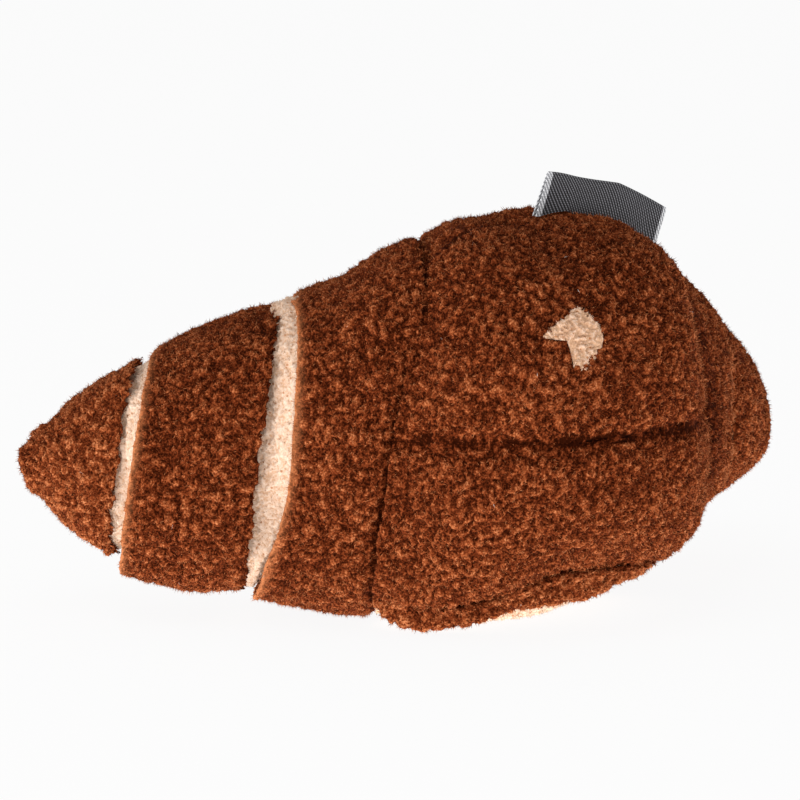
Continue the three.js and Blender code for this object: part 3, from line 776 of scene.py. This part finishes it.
def seen(tree):
    """1 for rays that show the background straight, mirrored or through glass, 0 for all others."""
    path = add_node(tree, "LightPath")
    either = add_node(
        tree, "Math", {0: path["Is Camera Ray"], 1: path["Is Glossy Ray"]}, operation="MAXIMUM"
    )
    return add_node(tree, "Math", {0: either[0], 1: path["Is Transmission Ray"]}, operation="MAXIMUM")[0]


def fleece_material(name, fleece, shades, pale):
    """Polyester fleece, knitted, then brushed and tumbled into nubs, with no shine: dark gaps and lit fibre ends,
    partly the fleece's own tone and partly painted shade in the gaps and painted light on the nub tops and fibre
    ends.
    """
    made, tree = new_material(name)
    place = add_node(tree, "TexCoord")["Object"]
    tone = add_node(tree, "Attribute", attribute_name="pile_tone")["Fac"]
    # Fibres are 0.02 mm thick, too fine to show, so their strands are drawn 0.4 mm apart.
    fine = add_node(tree, "TexNoise", {"Vector": place, "Scale": 1 / (0.4 * MM), "Detail": 1.0})
    broad = add_node(tree, "TexNoise", {"Vector": place, "Scale": 1 / (14 * MM), "Detail": 1.0})
    stirred = add_node(tree, "Math", {0: fine["Fac"], 1: 1.5, 2: -0.75}, operation="MULTIPLY_ADD")
    drift = add_node(tree, "Math", {0: broad["Fac"], 1: 0.16, 2: -0.08}, operation="MULTIPLY_ADD")
    mixed = add_node(tree, "Math", {0: stirred[0], 1: drift[0]}, operation="ADD")
    level = add_node(tree, "Math", {0: tone, 1: mixed[0]}, operation="ADD")
    # The pile tone picks a shade from pit to tip, so this ramp carries the painted shade and painted light that
    # the tone holds; the noise varies it at random.
    shade = add_node(
        tree, "ValToRGB", {"Fac": level[0]},
        stops=[(0.0, shades[0]), (1.0, shades[4]), (0.25, shades[1]), (0.5, shades[2]), (0.75, shades[3])],
    )["Color"]
    if pale:
        dots = add_node(tree, "TexVoronoi", {"Vector": place, "Scale": 1 / (1.1 * MM)})
        small = add_node(tree, "Math", {0: dots["Distance"], 1: 0.24}, operation="LESS_THAN")
        some = add_node(tree, "SeparateColor", {"Color": dots["Color"]})
        few = add_node(tree, "Math", {0: some["Red"], 1: 0.6}, operation="GREATER_THAN")
        both = add_node(tree, "Math", {0: small[0], 1: few[0]}, operation="MULTIPLY")
        part = add_node(tree, "Math", {0: both[0], 1: 0.7}, operation="MULTIPLY")
        shade = add_node(tree, "Mix", {0: part[0], 6: shade, 7: fleece.speck}, data_type="RGBA")[2]
    else:
        edge = add_node(tree, "Attribute", attribute_name="cut_edge")["Fac"]
        torn = add_node(tree, "Math", {0: stirred[0], 1: 0.8, 2: 0.85}, operation="MULTIPLY_ADD")
        part = add_node(tree, "Math", {0: edge, 1: torn[0]}, operation="MULTIPLY", use_clamp=True)
        cut = add_node(tree, "Mix", {0: part[0], 6: shade, 7: fleece.brown_edge}, data_type="RGBA")
        stray = add_node(tree, "Math", {0: tone, 1: LINT_TONE - 1}, operation="GREATER_THAN")
        shade = add_node(tree, "Mix", {0: stray[0], 6: cut[2], 7: fleece.lint}, data_type="RGBA")[2]
    bump = add_node(tree, "Bump", {"Height": fine["Fac"], "Strength": 0.6, "Distance": 0.25 * MM})
    surface(tree, {
        "Base Color": shade, "Roughness": 1.0, "Specular IOR Level": 0.05, "Normal": bump["Normal"],
    })
    return made


def fleece_of(fleece, pale):
    """The cream or the brown fleece, made once."""
    dye = "cream" if pale else "brown"
    name = f"brushed_{dye}_fleece"
    shades = [getattr(fleece, f"{dye}_{level}") for level in ("pit", "low", "body", "high", "tip")]
    return bpy.data.materials.get(name) or fleece_material(name, fleece, shades, pale)


def fleece_cover(
        context, node, seed, pale=False, cut=None, field=None,
        nub_size=1.0, fine=1.0, painted_light_shift=0.0, pile=1.0):
    """One sewn cover: smoothed, swelled, nubbed and covered with pile, in place of its node. Its tone shift makes
    the whole cover paler as painted light or darker as painted shade.
    """
    fleece = context.scene.fleece
    side = node.split("_")[0]
    is_tip = "_tip_front" in node or "_tip_back" in node
    is_band = node.endswith("_band")
    piece = copy_of(node, f"{node}_fleece")
    if node == "highlight_patch":
        out = unit(normals(piece.data)[outwardness(piece.data) > 0.3].sum(axis=0))
        put_points(piece.data, drawn_in(points(piece.data), PATCH_SIZE) - out * PATCH_PRESS)
    finish_with(piece, "REMESH", mode="VOXEL", voxel_size=fleece.form_grain * fine)
    evened(piece, 40 if fine == 1 else 6)
    swelled(piece, field)
    raw_way = -horn_way(side) if is_band else cut
    is_ring = "_shoulder_" in node or "_collar_" in node
    laps = is_tip or is_band or "_collar_" in node
    line, raw = rim_places(node, horn_way(side) if is_tip else raw_way, laps)
    if fine == 1:
        plumped(piece, node, line, raw, cut, fleece)
        pull = seam_pull(node, line)
        allowance = fleece.seam_allowance * (RING_ALLOWANCE if is_ring else 1)
        if node.startswith("right_shoulder"):
            low = 1 - ramp(points(piece.data)[:, 2], 16 * MM, 26 * MM)
            allowance = allowance * (1 + LOW_ROOT_ALLOWANCE * low)
        sewn_in(piece, fleece, line, pull, raw_way, allowance)
        line = line - away_from_spine(line) * (fleece.seam_depth * pull)[:, None]
    if is_tip:
        shaped_tip(piece, side, fleece)
    wandered(piece, fleece)
    finish_with(piece, "REMESH", mode="VOXEL", voxel_size=fleece.grain * fine, use_smooth_shade=True)
    places, facing = points(piece.data), normals(piece.data)
    mask = ramp(outwardness(piece.data), -0.3, 0.3)
    edge = np.zeros(len(places))
    if cut is not None:
        from_raw = gaps_to(settled(raw, fleece), places)
        near_edge = np.exp(-(from_raw / fleece.edge_width) ** 2)
        on_edge = 0.9 * ramp(facing @ cut, 0.4, 0.75) * (1 - ramp(from_raw, 2 * MM, 4 * MM))
        edge = np.maximum(on_edge, 0.6 * near_edge)
        mask = mask * (1 - 0.6 * ramp(facing @ cut, 0.5, 0.8))
    if is_band:
        mask = mask * (1 - ramp(gaps_to(lips_over(node), places), 11 * MM, 13 * MM))
    covered = under_patch(places, facing) if node == "upper_front_panel" else 0
    mask = mask * (1 - covered)
    painted_crease_shade, bare = np.zeros(len(places)), np.zeros(len(places))
    if fine == 1 and len(line):
        index, gap = nearest(settled(line, fleece), places)
        # Painted shade in the crease along each seam, stronger along the hems.
        painted_crease_shade = 1.4 * np.maximum(pull[index], 1.2) * np.exp(-(gap / (0.8 * MM)) ** 2)
        # On the right shoulders, a painted shadow where the middle's end stands over them, fading 6 to 11 mm from
        # the middle's rims.
        if node.startswith("right_shoulder"):
            from_middle = gaps_to(settled(middle_rims(), fleece), places)
            painted_crease_shade = painted_crease_shade + 0.7 * (1 - ramp(from_middle, 6 * MM, 11 * MM))
        bare = 0.95 * np.exp(-(gap / (1.2 * MM)) ** 2)
    facing, height = nubbed(piece, mask if is_tip else mask * (1 - 0.4 * bare), fleece, nub_size)
    put_points(piece.data, points(piece.data) - facing * np.outer(covered, (1, 1, 1)) * fleece.nub_height)
    # The pile tone follows the nubs' height, with painted shade deep between them, lowered by the painted crease
    # shade and moved by the cover's painted light shift.
    height = height + painted_light_shift - 0.5 * painted_crease_shade
    put_attribute(piece.data, "pile_tone", 0.03 + 0.66 * height)
    put_attribute(piece.data, "cut_edge", edge)
    piled(piece, mask * (1 - bare), facing, height, edge, fleece, seed, pale, pile)
    only(piece)
    bpy.ops.object.shade_smooth()
    piece.data.materials.append(fleece_of(fleece, pale))
    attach(piece, BODY_OF[node])
    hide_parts(node)


def swell_of(body, covers, grain):
    """A body's swelling."""
    return swelling(body, covers, grain, bpy.context.scene.fleece.swell_limit)


class TOY_OT_centre(bpy.types.Operator):
    """Sews the fat middle of the toy with its shoulders, hems and belly"""

    bl_idname = "toy.centre"
    bl_label = "Sew the centre"

    def execute(self, context):
        field = swell_of("centre", CENTRE_COVERS + SHOULDERS + ("belly_panel",), 4 * MM)
        for seed, node in enumerate(CENTRE_COVERS):
            # The hems are painted paler: painted light from below.
            paler = 0.22 if node.endswith("_hem") else 0.0
            fleece_cover(context, node, 100 + seed, field=field, painted_light_shift=paler)
        # The belly's cream is painted darker: painted shade.
        fleece_cover(context, "belly_panel", 120, pale=True, nub_size=0.8, painted_light_shift=-0.2)
        for seed, node in enumerate(SHOULDERS):
            fleece_cover(context, node, 130 + seed, cut=horn_way(node.split("_")[0]), field=field)
        return {"FINISHED"}


class TOY_OT_horns(bpy.types.Operator):
    """Sews the collars and tips of both horns"""

    bl_idname = "toy.horns"
    bl_label = "Sew the horns"

    def execute(self, context):
        for number, side in enumerate(SIDES):
            collars = [f"{side}_collar_{half}" for half in HALVES]
            tips = [f"{side}_tip_{half}" for half in HALVES]
            field = swell_of(f"{side}_horn", collars, 3.5 * MM)
            for seed, node in enumerate(collars):
                fleece_cover(context, node, 200 + 10 * number + seed, cut=horn_way(side), field=field)
            field = swell_of(f"{side}_tip", tips, 3 * MM)
            for seed, node in enumerate(tips):
                # The tips are painted paler: painted light on them.
                fleece_cover(context, node, 205 + 10 * number + seed, field=field, painted_light_shift=0.2)
        return {"FINISHED"}


class TOY_OT_bands(bpy.types.Operator):
    """Sews the cream bands that show under the brown edges"""

    bl_idname = "toy.bands"
    bl_label = "Sew the cream bands"

    def execute(self, context):
        for number, side in enumerate(SIDES):
            for seed, band in enumerate((f"{side}_horn_band", f"{side}_tip_band")):
                fleece_cover(context, band, 300 + 10 * number + seed, pale=True, nub_size=0.65, pile=0.6)
        return {"FINISHED"}


class TOY_OT_patch(bpy.types.Operator):
    """Sews the pale patch on the front"""

    bl_idname = "toy.patch"
    bl_label = "Sew the patch"

    def execute(self, context):
        # The patch's cream is painted much darker: painted shade on it.
        fleece_cover(
            context, "highlight_patch", 320, pale=True, nub_size=0.65, fine=0.45, painted_light_shift=-0.6, pile=0.8)
        return {"FINISHED"}


def fibre_material():
    """Loose polyester stuffing: white, soft, with a little light lost between its fibres."""
    made, tree = new_material("loose_polyester_fibre")
    place = add_node(tree, "TexCoord")["Object"]
    strands = add_node(
        tree, "TexNoise",
        {"Vector": place, "Scale": 1 / (1.5 * MM), "Detail": 3.0, "Distortion": 2.0},
    )
    shade = add_node(
        tree, "ValToRGB", {"Fac": strands["Fac"]},
        stops=[(0.3, paint("#D5D0C6")), (0.7, paint("#F4F1EA"))],
    )
    bump = add_node(tree, "Bump", {"Height": strands["Fac"], "Strength": 0.6, "Distance": 0.6 * MM})
    surface(tree, {"Base Color": shade["Color"], "Roughness": 1.0, "Normal": bump["Normal"]})
    return made


class TOY_OT_filling(bpy.types.Operator):
    """Stuffs the covers with lumpy wads of fibre"""

    bl_idname = "toy.filling"
    bl_label = "Stuff the toy"

    def execute(self, context):
        fibre = fibre_material()
        for node in [name for name in frame["nodes"] if name.endswith("filling")]:
            wad = copy_of(node, f"{node}_fibre")
            finish_with(wad, "REMESH", mode="VOXEL", voxel_size=1.6 * MM, use_smooth_shade=True)
            finish_with(wad, "SMOOTH", factor=0.5, iterations=6)
            under_covers = points(wad.data) - normals(wad.data) * WAD_INSET
            put_points(wad.data, settled(under_covers, context.scene.fleece))
            finish_with(
                wad, "DISPLACE", texture=texture("lumps", WAD_LUMP, False, 2), texture_coords="LOCAL",
                direction="NORMAL", mid_level=1.0, strength=WAD_LUMP_DEPTH,
            )
            only(wad)
            bpy.ops.object.shade_smooth()
            wad.data.materials.append(fibre)
            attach(wad, BODY_OF[node])
            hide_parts(node)
        return {"FINISHED"}


class TOY_OT_squeaker(bpy.types.Operator):
    """Gives the squeaker its moulded plastic"""

    bl_idname = "toy.squeaker"
    bl_label = "Finish the squeaker"

    def execute(self, context):
        # Blow-moulded soft polyethylene: milky, with a satin skin that is a little uneven.
        made, tree = new_material("moulded_soft_polyethylene")
        place = add_node(tree, "TexCoord")["Object"]
        skin = add_node(tree, "TexNoise", {"Vector": place, "Scale": 1 / (2.5 * MM), "Detail": 2.0})
        shade = add_node(
            tree, "ValToRGB", {"Fac": skin["Fac"]},
            stops=[(0.35, paint("#E6E3D8")), (0.65, paint("#F1EFE7"))],
        )
        rough = add_node(tree, "MapRange", {"Value": skin["Fac"], "To Min": 0.4, "To Max": 0.58})
        bump = add_node(tree, "Bump", {"Height": skin["Fac"], "Strength": 0.15, "Distance": 0.1 * MM})
        surface(tree, {
            "Base Color": shade["Color"], "Roughness": rough["Result"], "IOR": 1.51,
            "Normal": bump["Normal"],
        })
        for node in ("squeaker_cup", "squeaker_dome", "squeaker_whistle", "squeaker_reed"):
            part = frame["nodes"][node]
            part.data.materials.clear()
            part.data.materials.append(made)
        return {"FINISHED"}


def label_material(label, width, tall):
    """Woven polyester label tape: a fine charcoal twill between pale woven edges."""
    made, tree = new_material("woven_twill_tape")
    place = add_node(tree, "UVMap", uv_map="flat")["UV"]
    axes = add_node(tree, "SeparateXYZ", {"Vector": place})
    across = add_node(tree, "Math", {0: axes["X"], 1: width}, operation="MULTIPLY")[0]
    up = add_node(tree, "Math", {0: axes["Y"], 1: tall}, operation="MULTIPLY")[0]
    slant = add_node(tree, "Math", {0: up, 1: 0.8, 2: across}, operation="MULTIPLY_ADD")[0]
    turns = add_node(tree, "Math", {0: slant, 1: 2 * math.pi / label.twill_pitch}, operation="MULTIPLY")
    wave = add_node(tree, "Math", {0: turns[0]}, operation="SINE")[0]
    weft_turns = add_node(
        tree, "Math", {0: up, 1: 2 * math.pi / (0.62 * label.twill_pitch)}, operation="MULTIPLY"
    )
    weft = add_node(tree, "Math", {0: weft_turns[0]}, operation="SINE")[0]
    cross = add_node(tree, "Math", {0: weft, 1: 0.35, 2: wave}, operation="MULTIPLY_ADD")[0]
    level = add_node(tree, "MapRange", {"Value": cross, "From Min": -0.9, "From Max": 1.35})["Result"]
    cloth = add_node(
        tree, "ValToRGB", {"Fac": level}, stops=[(0.45, label.dark), (0.95, label.light)]
    )["Color"]
    left = add_node(tree, "Math", {0: across, 1: label.left_selvedge}, operation="LESS_THAN")[0]
    right = add_node(
        tree, "Math", {0: across, 1: width - label.right_selvedge}, operation="GREATER_THAN"
    )[0]
    ends = add_node(tree, "Math", {0: left, 1: right}, operation="MAXIMUM")[0]
    pale = add_node(
        tree, "ValToRGB", {"Fac": level}, stops=[(0.2, paint("#7E7F82")), (0.8, label.selvedge)]
    )["Color"]
    shade = add_node(tree, "Mix", {"Factor": ends, 6: cloth, 7: pale}, data_type="RGBA")[2]
    bump = add_node(tree, "Bump", {"Height": cross, "Strength": 0.4, "Distance": 0.06 * MM})
    surface(tree, {
        "Base Color": shade, "Roughness": 0.7, "Specular IOR Level": 0.3, "Normal": bump["Normal"],
    })
    return made


class TOY_OT_label(bpy.types.Operator):
    """Folds the woven label into the top seam"""

    bl_idname = "toy.label"
    bl_label = "Fold the label"

    def execute(self, context):
        label = context.scene.label
        hinge = JOINTS["label_flip"]
        run = unit(np.array(hinge["axis"], float))
        rise = np.array([-run[2], 0, run[0]])
        node = points(frame["nodes"]["woven_label"].data)
        across, up = node @ run, node @ rise
        front = node[:, 1].min()
        back = node[:, 1].max()
        left, right = across.min(), across.max()
        lower = up < up.max() - 6.5 * MM
        order = np.argsort(across[lower])
        foot_at, foot_up = across[lower][order], up[lower][order]
        top_left = up[across < left + 0.5 * MM].max() - 0.1 * MM
        top_right = up[across > right - 0.5 * MM].max()
        kink_at, kink_up = across[np.argmax(up)], up.max()

        bpy.ops.object.select_all(action="DESELECT")
        columns, rows = 64, 30
        bpy.ops.mesh.primitive_grid_add(x_subdivisions=columns, y_subdivisions=rows, size=1, calc_uvs=True)
        tape = context.active_object
        tape.name = "woven_label_tape"
        tape.data.uv_layers[0].name = "flat"
        flat = points(tape.data)
        u, v = flat[:, 0] + 0.5, flat[:, 1] + 0.5
        place = left + u * (right - left) - 0.5 * MM * (1 - u)
        foot = np.interp(place, foot_at, foot_up) - 0.9 * MM
        head = np.interp(place, [left, kink_at, right], [top_left, kink_up, top_right]) - 0.3 * MM
        fold = np.abs(2 * v - 1)
        height = head + (foot - head) * fold ** 1.15
        side = np.sign(v - 0.5) * np.sqrt(np.clip(fold, 0, 1)) ** 0.6
        middle = (front + back) / 2
        half = (back - front) / 2 - 0.5 * label.thickness
        bend = ramp(place, kink_at - 2 * MM, right + 4 * MM) * -label.turn_forward
        depth = middle + side * half * (0.75 + 0.25 * fold) + bend
        spot = place[:, None] * run + height[:, None] * rise
        spot[:, 1] = depth
        put_points(tape.data, settled(spot, context.scene.fleece))
        width = right - left
        tall = 2 * float(np.mean(head - foot))
        finish_with(tape, "SOLIDIFY", thickness=label.thickness, offset=0, use_even_offset=True)
        only(tape)
        bpy.ops.object.mode_set(mode="EDIT")
        bpy.ops.mesh.select_all(action="SELECT")
        bpy.ops.mesh.normals_make_consistent(inside=False)
        bpy.ops.object.mode_set(mode="OBJECT")
        bpy.ops.object.shade_smooth_by_angle(angle=math.radians(40))
        tape.data.materials.append(label_material(label, width, tall))
        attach(tape, "label")
        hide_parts("woven_label")
        return {"FINISHED"}


def lamp(name, place, aim, size, power):
    """A soft square lamp that faces a point."""
    data = bpy.data.lights.new(name, "AREA")
    data.shape = "SQUARE"
    data.size = size
    data.energy = power
    made = bpy.data.objects.new(name, data)
    made.location = place
    made.rotation_euler = (Vector(aim) - Vector(place)).to_track_quat("-Z", "Y").to_euler()
    bpy.context.scene.collection.objects.link(made)


class TOY_OT_stage(bpy.types.Operator):
    """Sets the floor, the lamps and the camera"""

    bl_idname = "toy.stage"
    bl_label = "Set the stage"

    def execute(self, context):
        scene = context.scene
        stage = scene.stage
        scene.view_settings.view_transform = "Standard"
        turn, lift = stage.azimuth, stage.elevation
        middle = Vector((0, 0, stage.middle_height))
        back = Vector((math.sin(turn) * math.cos(lift), -math.cos(turn) * math.cos(lift), math.sin(lift)))
        right = Vector((math.cos(turn), math.sin(turn), 0))
        over = back.cross(right)
        data = bpy.data.cameras.new("camera")
        data.sensor_width = 36
        data.lens = data.sensor_width * stage.distance / stage.view_width
        camera = bpy.data.objects.new("camera", data)
        scene.collection.objects.link(camera)
        camera.location = middle + back * stage.distance
        aim = middle - right * stage.slide_left + over * stage.slide_up
        camera.rotation_euler = (aim - camera.location).to_track_quat("-Z", "Y").to_euler()
        scene.camera = camera
        self.light(stage, middle, back, right)
        self.floor(context, stage)
        return {"FINISHED"}

    def light(self, stage, middle, back, right):
        """A large low lamp on the left, a weak one above the front, and an even light all round."""
        level = Vector((back.x, back.y, 0)).normalized()
        up = Vector((0, 0, 1))
        lamp("key_lamp", middle + level * 0.55 - right * 0.9 + up * 0.1, middle, LAMP_SIZE, stage.key_power)
        lamp("top_lamp", middle + level * 0.5 - right * 0.2 + up * 0.9, middle, LAMP_SIZE, stage.top_power)
        world = bpy.data.worlds.new("even_light")
        bpy.context.scene.world = world
        world.use_nodes = True
        tree = world.node_tree
        tree.nodes.clear()
        path = seen(tree)
        strength = add_node(
            tree, "MapRange", {"Value": path, "To Min": stage.world_strength, "To Max": 1.0}
        )["Result"]
        sky = add_node(tree, "Background", {"Color": (1, 1, 1, 1), "Strength": strength})
        add_node(tree, "OutputWorld", {"Surface": sky["Background"]})

    def floor(self, context, stage):
        """A wide white light table that keeps a faint shadow."""
        bpy.ops.object.select_all(action="DESELECT")
        bpy.ops.mesh.primitive_plane_add(size=12)
        floor = context.active_object
        floor.name = "floor"
        made, tree = new_material("white_paper")
        plain = add_node(tree, "BsdfDiffuse", {"Color": paint("#F2F2F2")})
        path = seen(tree)
        strength = add_node(
            tree, "MapRange", {"Value": path, "To Min": stage.floor_glow, "To Max": 1.0}
        )["Result"]
        glow = add_node(tree, "Emission", {"Color": (1, 1, 1, 1), "Strength": strength})
        part = add_node(
            tree, "MapRange", {"Value": path, "To Min": 1.0, "To Max": stage.floor_white}
        )["Result"]
        both = add_node(tree, "MixShader", {0: part, 1: plain["BSDF"], 2: glow["Emission"]})
        add_node(tree, "OutputMaterial", {"Surface": both["Shader"]})
        floor.data.materials.append(made)


class TOY_PT_panel(bpy.types.Panel):
    """Lists the toy's steps and settings"""

    bl_idname = "TOY_PT_panel"
    bl_label = "Croissant toy"
    bl_space_type = "VIEW_3D"
    bl_region_type = "UI"
    bl_category = "Toy"

    def draw(self, context):
        for step in STEPS:
            self.layout.operator(step.bl_idname)
        for group in (context.scene.fleece, context.scene.label, context.scene.stage):
            box = self.layout.box()
            for key in group.__annotations__:
                box.prop(group, key)


STEPS = (
    TOY_OT_centre, TOY_OT_horns, TOY_OT_bands, TOY_OT_patch, TOY_OT_filling, TOY_OT_squeaker, TOY_OT_label,
    TOY_OT_stage,
)
SETTINGS = {"fleece": FleeceSettings, "label": LabelSettings, "stage": StageSettings}
CLASSES = (*SETTINGS.values(), *STEPS, TOY_PT_panel)


def register():
    """Registers the classes and hangs the settings on the scene."""
    for made in CLASSES:
        bpy.utils.register_class(made)
    for name, group in SETTINGS.items():
        setattr(bpy.types.Scene, name, bpy.props.PointerProperty(type=group))


def unregister():
    """Takes the settings and the classes away."""
    for name in SETTINGS:
        delattr(bpy.types.Scene, name)
    for made in reversed(CLASSES):
        bpy.utils.unregister_class(made)


def main():
    """Makes the whole toy and its stage."""
    register()
    for step in STEPS:
        family, name = step.bl_idname.split(".")
        getattr(getattr(bpy.ops, family), name)()


if __name__ == "__main__":
    main()
